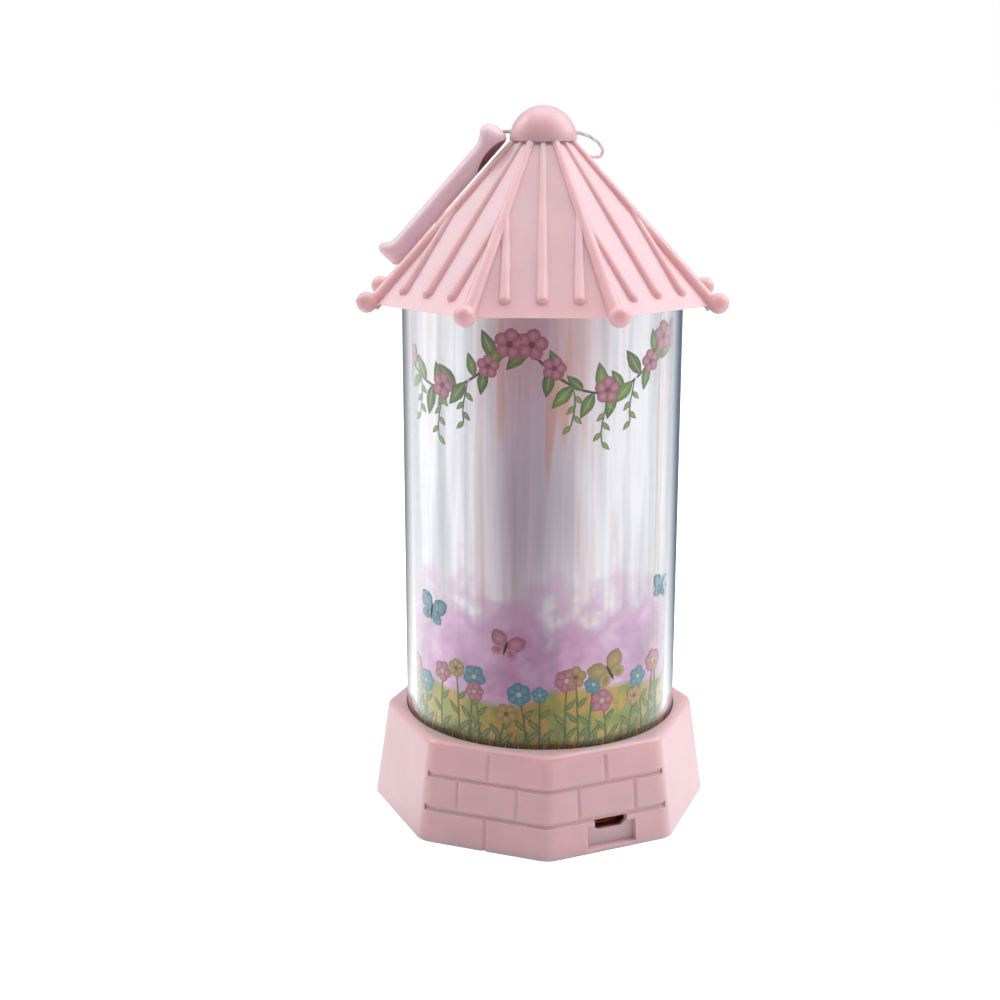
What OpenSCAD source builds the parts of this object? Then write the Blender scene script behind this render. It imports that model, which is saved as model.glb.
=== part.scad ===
// Tabletop flame lantern: a pagoda roof on a clear printed tube, a brick-moulded base
// and a hand grip on a thin cord. Millimetres, +Z up, front toward -Y, standing on z = 0.

/* [Base] */
// Height of the base
base_h = 23; // [21:0.5:30]
// Distance across opposite faces of the base at its foot
base_foot_w = 73.2; // [71.6:0.2:78]
// Distance across opposite faces of the base at its rim
base_rim_w = 66.8; // [66.4:0.2:70]
// Radius that rounds the upright corners of the base
base_corner_r = 5; // [2:0.25:7]
// Wall of the base
base_wall = 2; // [1.6:0.1:2.4]
// Turn of the face with the charging port from the front
base_turn = 25.5; // [0:0.5:45]
// Height of the rounded top edge of the base
rim_round = 1.3; // [0.5:0.1:1.5]
// Width of a mortar groove
groove_w = 1.4; // [0.8:0.1:1.8]
// Depth of a mortar groove
groove_d = 0.45; // [0.2:0.05:0.6]
// Length of one brick along a face
brick_len = 14; // [12:0.5:15]
// Thickness of the bottom cover
cover_t = 2; // [1.6:0.1:2.4]
// Height of the cover's underside above the foot
cover_lift = 0.6; // [0.5:0.1:1.2]

/* [Tube] */
// Outer radius of the clear tube
tube_r = 31.4; // [30.5:0.1:31.6]
// Wall of the clear tube
tube_wall = 2; // [1.5:0.1:2.5]
// Length of the clear tube
tube_len = 105; // [80:1:140]
// Height of the ledge that the tube stands on
tube_seat_z = 15; // [14.5:0.25:17]
// Thickness of the printed film
film_t = 0.2; // [0.1:0.05:0.4]
// Thickness of the lamp deck
deck_t = 1.5; // [1:0.1:2]
// Thickness of the tube cap's plate
cap_t = 1.2; // [1:0.1:1.6]
// Depth of the tube cap's spigot
spigot_h = 8; // [4:0.5:14]

/* [Roof] */
// Distance from the axis to a corner of the eave
eave_r = 39.8; // [37.5:0.1:44]
// Pitch of the roof's faces
roof_pitch = 48.25; // [46:0.25:52]
// Wall of the roof
roof_wall = 1.8; // [1.4:0.1:2]
// Radius of the balls at the eave corners
ball_r = 2.3; // [1.8:0.1:2.8]
// Radius of a hip rib at the top
hip_top_r = 0.9; // [0.7:0.05:1.2]
// Radius of a hip rib at the eave
hip_eave_r = 1.65; // [1.3:0.05:1.8]
// Radius of a face rib at its lower end
rib_low_r = 1.3; // [0.9:0.05:1.5]
// Radius of a face rib at its upper end
rib_top_r = 0.75; // [0.5:0.05:0.9]
// Spacing of the three ribs on a face
rib_pitch = 7.6; // [6.5:0.1:8.5]
// Radius of the finial's dome
finial_r = 7.35; // [6.8:0.05:7.8]
// Height of the finial's straight skirt
finial_skirt = 0.2; // [0.1:0.1:0.6]
// Reach of the finial past the roof's faces at its seat
finial_over = 0.9; // [0.5:0.05:1.2]

/* [Handle] */
// Length of the hand grip
grip_len = 37.6; // [34:0.2:38.5]
// Width of the hand grip
grip_w = 9; // [8:0.25:11]
// Height of the grip at its waist
grip_h = 4.4; // [4:0.1:5]
// Extra height of the grip at its flared lower end
grip_flare = 1.7; // [1:0.05:2.2]
// Wall of the grip
grip_wall = 1.4; // [1.2:0.1:1.6]
// Distance of the grip's upper end down the slope from the roof's point
grip_start = 9.9; // [9.7:0.1:12]
// Diameter of the hanging cord
cord_d = 0.9; // [0.6:0.1:1.1]

/* [Electrics] */
// Height of the charging port's centre
port_z = 5.9; // [5.5:0.1:6.2]
// Sideways place of the charging port on its face
port_shift = 0.7; // [-1:0.1:1]
// Width of the charging socket's shell
usb_w = 7.5; // [6.9:0.1:8]
// Height of the charging socket's shell
usb_h = 2.6; // [2.4:0.1:2.8]
// Length of the charging socket's shell
usb_len = 5.6; // [5:0.1:7]
// Width of the circuit board
board_w = 17; // [16.5:0.25:18]
// Length of the circuit board
board_len = 35; // [33:0.5:36]
// Thickness of the circuit board
board_t = 1.2; // [0.8:0.1:1.6]
// Length of the battery cell
cell_len = 34; // [28:0.5:38]
// Width of the battery cell
cell_w = 19; // [14:0.5:20]
// Thickness of the battery cell
cell_t = 7.6; // [5:0.2:8.5]
// Travel of the switch slider
switch_travel = 2; // [1:0.25:2.5]

/* [Fits] */
// Radial clearance of the tube in the base
tube_fit = 0.2; // [0.1:0.05:0.4]
// Clearance between nested round pieces inside the tube
nest_fit = 0.3; // [0.2:0.05:0.5]
// Clearance round the bottom cover
cover_fit = 0.3; // [0.2:0.05:0.5]
// Clearance round sliding and plugged parts
slide_fit = 0.3; // [0.2:0.05:0.4]
// Clearance between the tube cap's rim and the roof's inside
roof_fit = 0.55; // [0.3:0.05:1]
// Clearance of the finial in the roof
finial_fit = 0.2; // [0.1:0.05:0.3]
// Clearance of the grip above the tops of the hip ribs
grip_rest = 0.55; // [0.5:0.05:0.8]

/* [Hidden] */
$fn = 64;
EPS = 0.01;
FAR = 200;
OCT = 22.5;
FACES = [0 : 45 : 315];
QUARTERS = [0 : 90 : 270];

PINK = [0.95, 0.80, 0.80];
PINK_DEEP = [0.88, 0.70, 0.69];
CLEAR = [0.86, 0.88, 0.92, 0.35];
FILM = [0.80, 0.72, 0.80];
WHITE = [0.95, 0.95, 0.93];
STEEL = [0.75, 0.76, 0.78];
BOARD_GREEN = [0.12, 0.42, 0.24];
DARK = [0.12, 0.12, 0.13];
CELL_BLUE = [0.30, 0.45, 0.70];
CORD_PALE = [0.88, 0.80, 0.82];
RED = [0.75, 0.12, 0.10];
RUST = [0.62, 0.26, 0.17];
AMBER = [0.98, 0.80, 0.35];

// Base levels and outlines
ceiling_z = tube_seat_z - 2;
base_lean = (base_foot_w - base_rim_w) / 2 / base_h;
base_tilt = atan(base_lean);
course_h = base_h / 3;
cover_top_z = cover_lift + cover_t;
bore_r = tube_r + tube_fit;
tube_in_r = tube_r - tube_wall;
film_out_r = tube_in_r - 0.1;
film_in_r = film_out_r - film_t;
deck_r = film_in_r - nest_fit;
light_hole_r = deck_r - 2.3;
// Mould pull direction of the base, through the corner between its two front faces
pull_turn = -OCT;
joint_faces = [0, -45, 135, 180];
cover_screw_r = light_hole_r + 5;
cover_boss_r = 2.8;
screw_r = 0.8;
screw_head_r = 1.6;
screw_head_h = 1.1;
pilot_r = screw_r + 0.05;
screw_clear_r = screw_r + 0.15;
screw_bite = 4;
board_screw_bite = 3;
boss_turn = 67.5;
rim_flats = 3;

// Charging pocket and socket, seen with the port's face toward -Y
pocket_w = 12;
pocket_low_z = 0.9;
pocket_floor_y = -(base_foot_w / 2 - base_lean * port_z - 0.9);
wall_in_y = -(base_foot_w / 2 - base_lean * (port_z + usb_h / 2) - base_wall);
socket_wall = 0.35;
socket_set_back = 1.6;
socket_y = wall_in_y + socket_set_back;
insulator_depth = 1.8;
tongue_t = 0.6;
tongue_set_back = 1;
port_corner = 1.1;
port_margin = 0.05;

// Circuit board hung under the ceiling
board_z = port_z + usb_h / 2;
board_top_z = board_z + board_t;
board_front_y = -(base_foot_w / 2 - base_lean * board_top_z - base_wall - slide_fit);
board_back_y = board_front_y + board_len;
board_screw_x = board_w / 2 - 2;
board_screw_y = -(light_hole_r + 3);
board_boss_r = 2.2;
post_r = 1.4;
post_y = board_back_y - 3;
cell_y = board_back_y + 2.6;

parts_y = 13;
parts_gap = 2;
chip = [5, 4, 1.2];
coil = [4.5, 4.5, 2.2];
resistor = [3.2, 1.6, 0.9];
capacitor_d = 4;
capacitor_h = 3.2;
pin_w = 0.8;
pin_y = 10;
pin_gap = 2.4;
lead_d = 0.8;
lead_gap = 3;
lead_off = 0.3;
lead_arch = 5;
lead_top_z = board_top_z + 2.8;

// Emitters on the lamp deck
led = [2.8, 3.5, 1.2];
led_ring_r = 14;
lamp_r = 2.5;
lamp_h = 4;

// Slide switch under the board
switch_x = -3;
switch_set_back = 21;
switch_y = board_front_y + switch_set_back;
switch_l = 8.6;
switch_w = 4.4;
switch_case_low_z = cover_top_z + 1;
slider_w = 2.6;
slider_low_z = cover_lift - 0.2;
slider_head_z = switch_case_low_z + 1.5;

// Tube top and roof levels
tube_top_z = tube_seat_z + tube_len;
cap_top_z = tube_top_z + cap_t;
eave_apothem = eave_r * cos(OCT);
roof_tan = tan(roof_pitch);
// The roof's inside passes the cap's rim at its clearance
inner_apex_z = cap_top_z + (tube_r + roof_fit) * roof_tan;
apex_z = inner_apex_z + roof_wall / cos(roof_pitch);
eave_z = apex_z - eave_apothem * roof_tan;
hip_tan = roof_tan * cos(OCT);
hip_pitch = atan(hip_tan);
finial_seat_a = finial_r - finial_over;
finial_seat_z = apex_z - finial_seat_a * roof_tan;
roof_plate_t = 1.8;
stem_r = 2.4;
cord_rise = 1.75;
finial_screw_bite = 0.4;
washer_t = 0.6;
washer_over = 1.4;
hip_sink = 0.3;
rib_sink = 0.25;
rib_end_gap = 3;
ball_out = 1;
ball_up = 0.5;
cap_screw_r = 22;
cap_boss_r = 2.6;
hip_crest = hip_top_r - hip_sink;

// Hand grip in its own frame: x down the slope, z square to the roof's face
grip_low = hip_crest + grip_rest;
grip_waist = grip_low + grip_h;
flare_r = 5;
foot_r = 1.6;
knob_r = 2.2;
knob_drop = 0.6;
knob_reach = 3;
knob_flare_x = 6.5;
tip_r = 1.5;
tip_flare_x = grip_len - 5.2;
end_r = 3;
grip_side = 1.6;
grip_section = [[1, 0], [1, 0.42], [0.97, 0.62], [0.89, 0.79], [0.74, 0.92], [0.5, 0.985], [0.2, 1]];
grip_end_steps = [0, 0.12, 0.4, 0.8, 1.3, 1.75, 2.2, 2.6, 3, 3.5, 4.1, 4.8, 5.6, 6.5];
arch_chord = 10.4;
arch_rise = 1.5;
arch_r = (arch_chord * arch_chord / 4 + arch_rise * arch_rise) / 2 / arch_rise;
hollow_top = grip_waist - grip_wall;
cord_hole_r = cord_d / 2 + slide_fit;
knot_r = cord_hole_r + 0.25;
cord_hole_z = hollow_top - knot_r - 0.1;
web_set_in = 8;
web_x = grip_len - web_set_in;
end_wall = grip_wall + 0.7;

// Cord route as seen from the front: from the grip's upper end, through the finial,
// out on the right, round the back of the roof and under the grip's lower end, from the roof's point
cord_z = finial_seat_z + cord_rise;
cord_from_apex = [
    [-10.1, 0, -6.8], [-9, 0, -5.6], [-8, 0, -5.2], [-6.6, 0, -5.4], [-5, 0, -5.5], [0, 0, -5.5],
    [5, 0, -5.5], [7, 0, -5.5], [8.8, 0.2, -5.8], [10.6, 0.8, -6.6], [12.3, 1.6, -7.9],
    [13.1, 2.8, -9.4], [12.8, 4.4, -10.6], [11.6, 6.6, -10.9], [8.6, 10.2, -10.9],
    [3, 13.6, -11.8], [-4, 15.6, -14.1], [-12, 16, -18.1], [-19, 14, -21.9], [-25, 11, -25.7],
    [-28, 8.2, -28.1], [-29.6, 5.5, -30.1], [-30.2, 3.2, -31], [-30.5, 1.2, -30.6],
    [-29.7, 0, -28.8], [-28.6, 0, -27.5]
];
cord_route = [for (p = cord_from_apex) p + [0, 0, apex_z]];
cord_steps = 2;

// Octagon with a flat side toward -Y, measured across its flats
module octagon(across, corner = 0) {
    offset(r = corner) offset(delta = -corner)
        rotate(OCT) circle(r = across / 2 / cos(OCT), $fn = 8);
}

function base_width(z) = base_foot_w - 2 * base_lean * z;

// Slice of the base from z0 to z1, tapered between two widths, with corners that taper alike
module base_slice(z0, z1, w0, w1) {
    translate([0, 0, z0]) linear_extrude(height = z1 - z0, scale = w1 / w0)
        octagon(w0, base_corner_r * w0 / base_foot_w);
}

// Tapered block of the base between two heights, drawn in by inset
module base_block(z0, z1, inset = 0) {
    base_slice(z0, z1, base_width(z0) - 2 * inset, base_width(z1) - 2 * inset);
}

// Places children so that the port's face looks toward -Y in their frame
module base_frame() {
    rotate(base_turn) children();
}

module at_cover_screws() {
    for (a = QUARTERS) rotate(boss_turn + a) translate([cover_screw_r, 0, 0]) children();
}

module at_board_screws() {
    for (side = [-1, 1]) translate([side * board_screw_x, board_screw_y, 0]) children();
}

module at_cap_screws() {
    for (a = QUARTERS) rotate(a) translate([cap_screw_r, 0, 0]) children();
}

// Pan-head screw: head below z = 0, shank going up
module screw(shank) {
    translate([0, 0, -screw_head_h]) cylinder(r = screw_head_r, h = screw_head_h);
    translate([0, 0, -EPS]) cylinder(r = screw_r, h = shank);
}

// Mortar at height z in two steps, round the faces that look along the mould's pull
module mortar_ring(z) {
    w = base_width(z);
    span = w / cos(OCT) * sin(45) - groove_d;
    translate([0, 0, z]) for (step = [1, 2]) intersection() {
        linear_extrude(groove_w / step, center = true) difference() {
            octagon(w + 4);
            octagon(w - groove_d * step, base_corner_r);
        }
        rotate(pull_turn) cube([span, FAR, FAR], center = true);
    }
}

// Upright V of mortar on the face at a turn, from z0 to z1, x along the face
module mortar_joint(turn, x, z0, z1) {
    mouth = groove_w / 2 * (1 + 1 / groove_d);
    rotate(turn) translate([x, -base_foot_w / 2, 0]) rotate([-base_tilt, 0, 0]) translate([0, 0, z0])
        linear_extrude(z1 - z0) polygon([[-mouth, -1], [mouth, -1], [0, groove_d]]);
}

module brick_joints() {
    for (z = [course_h, 2 * course_h]) mortar_ring(z);
    for (turn = joint_faces) {
        mortar_joint(turn, 0, 2 * course_h, base_h - rim_round);
        for (side = [-1, 1]) mortar_joint(turn, side * brick_len / 2, course_h, 2 * course_h);
        if (turn != 0) mortar_joint(turn, 0, 0, course_h);
    }
}

// Outline of the charging socket, wide side up, grown sideways and upright by margins
module usb_outline(side_margin, up_margin) {
    w = usb_w / 2 + side_margin;
    h = usb_h / 2 + up_margin;
    polygon([[-w, h], [w, h], [w, -h + port_corner], [w - port_corner, -h],
             [-w + port_corner, -h], [-w, -h + port_corner]]);
}

// Extrudes an outline from y0 to y1 at the charging port
module along_port(y0, y1) {
    translate([port_shift, y1, port_z]) rotate([90, 0, 0]) linear_extrude(y1 - y0) children();
}

module base_housing() {
    color(PINK_DEEP) base_frame() difference() {
        union() {
            difference() {
                base_outside();
                translate([0, 0, tube_seat_z]) cylinder(r = bore_r, h = base_h);
                translate([0, 0, ceiling_z - EPS]) cylinder(r = light_hole_r, h = base_h);
                translate([0, 0, -EPS]) base_block(0, ceiling_z, base_wall);
                brick_joints();
                charging_pocket();
            }
            at_cover_screws() translate([0, 0, cover_top_z])
                cylinder(r = cover_boss_r, h = ceiling_z - cover_top_z + 1);
            at_board_screws() translate([0, 0, board_top_z])
                cylinder(r = board_boss_r, h = ceiling_z - board_top_z + 1);
        }
        at_cover_screws() translate([0, 0, -EPS]) cylinder(r = pilot_r, h = ceiling_z);
        at_board_screws() cylinder(r = pilot_r, h = ceiling_z);
    }
}

// Outside of the base, its top edge rounded by tapered blocks that follow flats of a quarter round
module base_outside() {
    function level(k) = base_h - rim_round * (1 - sin(90 * k / rim_flats));
    function width(k) = base_width(level(k)) - 2 * rim_round * (1 - cos(90 * k / rim_flats));
    intersection() {
        base_block(0, base_h);
        intersection_for (k = [0 : rim_flats - 1]) {
            taper = (width(k + 1) - width(k)) / (level(k + 1) - level(k));
            below = level(k) + 1;
            above = base_h + 1 - level(k);
            base_slice(-1, base_h + 1, width(k) - taper * below, width(k) + taper * above);
        }
    }
}

module charging_pocket() {
    translate([port_shift - pocket_w / 2, -FAR, pocket_low_z])
        cube([pocket_w, FAR + pocket_floor_y, port_z - pocket_low_z]);
    along_port(-base_foot_w, wall_in_y + base_wall) usb_outline(slide_fit, port_margin);
}

module bottom_cover() {
    color(PINK_DEEP) base_frame() difference() {
        union() {
            base_block(cover_lift, cover_top_z, base_wall + cover_fit);
            for (side = [-1, 1]) translate([side * (board_w / 2 - post_r - 0.6), post_y, cover_lift])
                cylinder(r = post_r, h = board_z - cover_lift);
        }
        at_cover_screws() {
            cylinder(r = screw_clear_r, h = base_h);
            cylinder(r = screw_head_r + 0.2, h = cover_lift + screw_head_h);
        }
        translate([switch_x - slider_w / 2 - slide_fit, switch_y - slider_w / 2 - slide_fit, 0])
            cube([slider_w + switch_travel + 2 * slide_fit, slider_w + 2 * slide_fit, base_h]);
    }
}

module cover_screws() {
    color(STEEL) base_frame() at_cover_screws()
        translate([0, 0, cover_lift + screw_head_h]) screw(cover_t + screw_bite);
}

module circuit_board() {
    color(BOARD_GREEN) base_frame() difference() {
        translate([-board_w / 2, board_front_y, board_z]) cube([board_w, board_len, board_t]);
        at_board_screws() translate([0, 0, board_z - 1]) cylinder(r = screw_clear_r, h = board_t + 2);
    }
}

// Driver chip, coil and capacitors on top of the board
module board_parts() {
    color(DARK) base_frame() translate([0, board_front_y, board_top_z]) {
        translate([-chip[0], parts_y, 0]) cube(chip);
        translate([parts_gap, parts_y, 0]) cube(coil);
        translate([-chip[0], parts_y + chip[1] + parts_gap, 0]) cube(resistor);
        translate([parts_gap + capacitor_d / 2, parts_y + coil[1] + parts_gap + capacitor_d / 2, 0])
            cylinder(d = capacitor_d, h = capacitor_h);
    }
}

module board_screws() {
    color(STEEL) base_frame() at_board_screws() translate([0, 0, board_z]) screw(board_t + board_screw_bite);
}

module usb_shell() {
    color(STEEL) base_frame() difference() {
        along_port(socket_y, socket_y + usb_len) usb_outline(0, 0);
        along_port(socket_y - 1, socket_y + usb_len - socket_wall) usb_outline(-socket_wall, -socket_wall);
    }
}

// Insulator in the back of the socket, with the tongue that carries the contacts
module usb_tongue() {
    back_y = socket_y + usb_len - socket_wall - port_margin;
    inset = -socket_wall - port_margin;
    color(RUST) base_frame() {
        along_port(back_y - insulator_depth, back_y) usb_outline(inset, inset);
        translate([port_shift - usb_w / 4, socket_y + tongue_set_back,
                   port_z + usb_h / 2 - 2 * socket_wall - tongue_t])
            cube([usb_w / 2, usb_len - insulator_depth - tongue_set_back, tongue_t]);
    }
}

module switch_case() {
    color(DARK) base_frame() translate([switch_x, switch_y, switch_case_low_z]) difference() {
        translate([-switch_l / 2, -switch_w / 2, 0])
            cube([switch_l, switch_w, board_z - switch_case_low_z]);
        translate([-slider_w / 2 - slide_fit, -slider_w / 2 - slide_fit, -1])
            cube([slider_w + switch_travel + 2 * slide_fit, slider_w + 2 * slide_fit,
                  slider_head_z - switch_case_low_z + slide_fit + 1]);
    }
}

module switch_slider() {
    color(WHITE) base_frame() translate([switch_x - slider_w / 2, switch_y - slider_w / 2, slider_low_z])
        cube([slider_w, slider_w, slider_head_z - slider_low_z]);
}

// Pouch cell with rounded long edges, lying on the cover
module battery_cell() {
    edge_r = cell_t / 3;
    color(CELL_BLUE) base_frame() translate([-cell_len / 2, cell_y + edge_r, cover_top_z])
        rotate([90, 0, 90]) linear_extrude(cell_len) union() {
            square([cell_w - 2 * edge_r, cell_t]);
            translate([-edge_r, edge_r]) square([cell_w, cell_t - 2 * edge_r]);
            for (x = [0, cell_w - 2 * edge_r], y = [edge_r, cell_t - edge_r])
                translate([x, y]) circle(r = edge_r);
        }
}

// Lead from the cell's face, in an arch over the board's end and down to the board
function lead_route(x) = let (low = cover_top_z + cell_t / 2, y = cell_y - lead_off, end_y = y - lead_arch) [
    [x, y, low], [x, y - lead_d, low + lead_d], [x, y - 1.4 * lead_d, low + 2.6 * lead_d],
    [x, y - 1.9 * lead_d, lead_top_z - lead_d], [x, y - lead_arch / 2, lead_top_z],
    [x, end_y + lead_d, lead_top_z - 0.6 * lead_d], [x, end_y, board_top_z + 1.5 * lead_d],
    [x, end_y, board_top_z + lead_off / 3]
];

module battery_lead_red() {
    color(RED) base_frame() swept_tube(lead_route(-lead_gap / 2), lead_d);
}

module battery_lead_black() {
    color(DARK) base_frame() swept_tube(lead_route(lead_gap / 2), lead_d);
}

module clear_tube() {
    color(CLEAR) translate([0, 0, tube_seat_z]) difference() {
        cylinder(r = tube_r, h = tube_len);
        translate([0, 0, -1]) cylinder(r = tube_in_r, h = tube_len + 2);
    }
}

module picture_film() {
    color(FILM) translate([0, 0, tube_seat_z]) difference() {
        cylinder(r = film_out_r, h = tube_len);
        translate([0, 0, -1]) cylinder(r = film_in_r, h = tube_len + 2);
    }
}

module lamp_deck() {
    color(WHITE) translate([0, 0, tube_seat_z]) cylinder(r = deck_r, h = deck_t);
}

// Ring of small emitters round one domed emitter in the middle
module lamp_leds() {
    color(AMBER) translate([0, 0, tube_seat_z + deck_t]) {
        for (turn = FACES) rotate(turn) translate([led_ring_r - led[0] / 2, -led[1] / 2, 0]) cube(led);
        cylinder(r = lamp_r, h = lamp_h);
        translate([0, 0, lamp_h]) sphere(r = lamp_r);
    }
}

module deck_pins() {
    color(STEEL) base_frame() for (side = [-1, 1])
        translate([(side * pin_gap - pin_w) / 2, board_front_y + pin_y, board_top_z])
            cube([pin_w, pin_w, tube_seat_z - board_top_z]);
}

module tube_cap() {
    color(WHITE) difference() {
        union() {
            translate([0, 0, tube_top_z]) cylinder(r = tube_r, h = cap_t);
            translate([0, 0, tube_top_z - spigot_h]) difference() {
                cylinder(r = deck_r, h = spigot_h + EPS);
                translate([0, 0, -1]) cylinder(r = deck_r - 1.5, h = spigot_h + 1);
            }
        }
        at_cap_screws() translate([0, 0, tube_top_z - 1]) cylinder(r = screw_clear_r, h = cap_t + 2);
    }
}

module cap_screws() {
    color(STEEL) at_cap_screws() translate([0, 0, tube_top_z]) screw(cap_t + screw_bite);
}

// Octagonal pyramid with a flat face toward -Y and its point at top, between two heights
module roof_pyramid(top, low_z, cut_z) {
    r0 = (top - low_z) / roof_tan / cos(OCT);
    r1 = (top - cut_z) / roof_tan / cos(OCT);
    translate([0, 0, low_z]) rotate(OCT) cylinder(r1 = r0, r2 = r1, h = cut_z - low_z, $fn = 8);
}

// One hip rib with the ball at its foot, over the corner toward +X
module hip_rib() {
    top_r = finial_seat_a / cos(OCT);
    run = eave_r - top_r;
    translate([top_r, 0, apex_z - top_r * hip_tan]) rotate([0, 90 + hip_pitch, 0])
        translate([hip_sink, 0, 0]) cylinder(r1 = hip_top_r, r2 = hip_eave_r, h = run / cos(hip_pitch));
    translate([eave_r + ball_out, 0, eave_z + ball_up]) sphere(r = ball_r);
}

// One face rib at a sideways place, from plan distance a0 down to a1, on the face toward +X
module face_rib(y, a0, a1) {
    slope_len = (a1 - a0) / cos(roof_pitch);
    translate([a0, y, apex_z - a0 * roof_tan]) rotate([0, 90 + roof_pitch, 0]) translate([rib_sink, 0, 0]) {
        cylinder(r1 = rib_top_r, r2 = rib_low_r, h = slope_len);
        translate([0, 0, slope_len]) sphere(r = rib_low_r);
    }
}

module roof_ribs() {
    low_a = eave_apothem - rib_end_gap;
    for (turn = FACES) {
        rotate(turn + OCT) hip_rib();
        rotate(turn) {
            face_rib(0, finial_seat_a, low_a);
            for (side = [-1, 1]) face_rib(side * rib_pitch, rib_pitch / tan(OCT), low_a);
        }
    }
}

module roof_shell() {
    color(PINK) difference() {
        union() {
            difference() {
                union() {
                    roof_pyramid(apex_z, eave_z, finial_seat_z + 1);
                    roof_ribs();
                }
                roof_pyramid(inner_apex_z, eave_z - 1, finial_seat_z - roof_plate_t);
                translate([0, 0, finial_seat_z]) cylinder(r = finial_r + finial_fit, h = FAR);
            }
            intersection() {
                at_cap_screws() translate([0, 0, cap_top_z]) cylinder(r = cap_boss_r, h = FAR);
                roof_pyramid(apex_z - 1, cap_top_z, finial_seat_z);
            }
        }
        at_cap_screws() cylinder(r = pilot_r, h = cap_top_z + screw_bite + 1);
        cylinder(r = stem_r + finial_fit, h = FAR);
    }
}

module finial() {
    stem_h = roof_plate_t - 0.1;
    color(PINK) translate([0, 0, finial_seat_z]) difference() {
        union() {
            cylinder(r = finial_r, h = finial_skirt);
            intersection() {
                translate([0, 0, finial_skirt]) sphere(r = finial_r);
                cylinder(r = finial_r + 1, h = FAR);
            }
            translate([0, 0, -stem_h]) cylinder(r = stem_r, h = stem_h + EPS);
        }
        translate([0, 0, -FAR]) cylinder(r = pilot_r, h = FAR + finial_screw_bite + nest_fit);
        translate([-FAR / 2, 0, cord_z - finial_seat_z]) rotate([0, 90, 0])
            cylinder(r = cord_d / 2 + slide_fit, h = FAR);
    }
}

module finial_screw() {
    color(STEEL) translate([0, 0, finial_seat_z - roof_plate_t - washer_t - EPS]) {
        cylinder(r = stem_r + washer_over, h = washer_t);
        screw(washer_t + roof_plate_t + finial_screw_bite);
    }
}

// Frame of the hand grip: x down the left face, z square to it, y across
module grip_frame() {
    translate([0, 0, apex_z]) rotate([0, -roof_pitch, 0]) mirror([1, 0, 0])
        translate([grip_start, 0, 0]) children();
}

// Round part of a profile: how far a circle of radius r stands up at a distance in from its end
function arc_rise(r, d) = sqrt(max(0, r * r - pow(r - min(d, r), 2)));

// Half width, foot and top of the grip at a place along it: round ends, a knob and a flared tip
function grip_half(x) = grip_w / 2 - end_r + arc_rise(end_r, min(x, grip_len - x));
function grip_foot(x) = grip_low + foot_r - arc_rise(foot_r, min(x, grip_len - x));
function grip_top(x) =
    x < knob_r ? grip_waist - knob_drop + arc_rise(knob_r, x) :
    x < knob_reach ? grip_waist - knob_drop + arc_rise(knob_r, 2 * knob_r - x) :
    x < knob_flare_x ? grip_waist + flare_r - arc_rise(flare_r, flare_r - knob_flare_x + x) :
    x < tip_flare_x ? grip_waist :
    x < grip_len - tip_r ? grip_waist + flare_r - arc_rise(flare_r, flare_r - x + tip_flare_x) :
    grip_waist + grip_flare - tip_r + arc_rise(tip_r, grip_len - x);

// Rounded bar of the grip, ring by ring down the slope
module grip_block() {
    half = len(grip_section);
    last = len(grip_end_steps) - 1;
    places = [each grip_end_steps, for (i = [last : -1 : 0]) grip_len - grip_end_steps[i]];
    ring_solid([for (x = places) let (w = grip_half(x), low = grip_foot(x), rise = grip_top(x) - low)
        [for (i = [0 : 2 * half - 1]) let (at = grip_section[i < half ? i : 2 * half - 1 - i])
            [x, (i < half ? w : -w) * at[0], low + rise * at[1]]]]);
}

module hand_grip() {
    hollow_w = grip_w - 2 * grip_side;
    color(PINK) grip_frame() difference() {
        grip_block();
        difference() {
            translate([end_wall, -hollow_w / 2, 0]) cube([grip_len - 2 * end_wall, hollow_w, hollow_top]);
            translate([web_x, -grip_w / 2, 0]) cube([grip_wall, grip_w, FAR]);
        }
        for (end = [[arch_chord / 2, -1], [grip_len - arch_chord / 2, 1]])
            translate([end[0], -end[1] * hollow_w / 2, grip_low + arch_rise - arch_r])
                rotate([-end[1] * 90, 0, 0]) cylinder(r = arch_r, h = FAR);
        for (x = [-1, web_x - 1]) translate([x, 0, cord_hole_z]) rotate([0, 90, 0])
            cylinder(r = cord_hole_r, h = end_wall + 2);
    }
}

// Knots that keep the cord in the grip, one behind each hole
module cord_knots() {
    color(CORD_PALE) grip_frame() {
        for (x = [end_wall + knot_r, web_x - knot_r]) translate([x, 0, cord_hole_z]) sphere(r = knot_r);
    }
}

// Point on a smooth curve through four route points, t from 0 to 1 between the middle two
function curve_point(a, b, c, d, t) =
    0.5 * ((2 * b) + (c - a) * t + (2 * a - 5 * b + 4 * c - d) * t * t
           + (3 * b - a - 3 * c + d) * t * t * t);

function smooth_route(route, steps) = let (last = len(route) - 1) concat(
    [for (i = [0 : last - 1], k = [0 : steps - 1])
        curve_point(route[max(i - 1, 0)], route[i], route[i + 1], route[min(i + 2, last)], k / steps)],
    [route[last]]);

function unit(v) = v / norm(v);

// Side direction carried along a path without twisting
function carried(side, along) = unit(side - (side * along) * along);

function side_list(path, i = 0, side = [0, 0.3, 1], out = []) =
    i == len(path) ? out :
    let (along = unit(path[min(i + 1, len(path) - 1)] - path[max(i - 1, 0)]), next = carried(side, along))
    side_list(path, i + 1, next, concat(out, [[next, cross(along, next)]]));

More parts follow.
